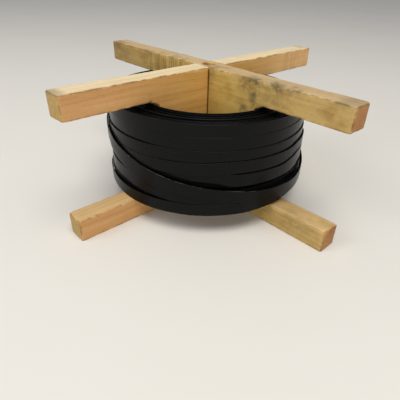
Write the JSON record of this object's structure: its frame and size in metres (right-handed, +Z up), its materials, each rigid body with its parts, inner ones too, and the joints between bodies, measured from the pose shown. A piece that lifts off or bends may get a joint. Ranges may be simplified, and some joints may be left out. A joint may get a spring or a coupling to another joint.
{
  "type": "surveyor tape reel",
  "caption": "Cross of two halved wooden H boards with a narrow black steel measuring tape wound round it between the upper and lower arms; loose outer lap and end ring.",
  "frame": {"origin": "middle of the flat surface that the reel stands on, on the spindle bore's axis", "axes": "+Z up along the spindle bore, +X along the board whose slot is open at the top, +Y along the board whose top runs unbroken over the cross"},
  "size_m": [0.2032, 0.2032, 0.0834],
  "materials": {
    "pale_pine": "sawn, pale orange-tan softwood",
    "weathered_pine": "sawn, olive-tan softwood with grey-green stains",
    "black_enamel": "glossy black enamel on steel ribbon",
    "fitting_brass": "dull brass",
    "ring_steel": "plated steel wire"
  },
  "bodies": {
    "cross": {"board_slot_up": "pale_pine", "board_slot_down": "weathered_pine"},
    "winding": {"tape_level_1": "black_enamel", "tape_level_2": "black_enamel", "tape_level_3": "black_enamel", "tape_level_4": "black_enamel", "tape_level_5": "black_enamel", "tape_level_6": "black_enamel", "tape_level_7": "black_enamel", "tape_inner_lap": "black_enamel", "tape_bottom_lap": "black_enamel", "tape_loose_lap": "black_enamel", "outer_end_clip": "fitting_brass", "outer_rivets": "fitting_brass", "inner_end_tab": "fitting_brass", "inner_rivets": "fitting_brass"},
    "end_ring": {"outer_end_ring": "ring_steel"}
  },
  "joints": [
    {"name": "winding_turn", "type": "hinge", "parent": "cross", "child": "winding", "pos_m": [0, 0, 0.041], "axis": [0, 0, 1], "continuous": true},
    {"name": "ring_swing", "type": "hinge", "parent": "winding", "child": "end_ring", "pos_m": [0.00982, 0.06567, 0.053], "axis": [0, 0, 1], "range_deg": [0, 150]}
  ]
}
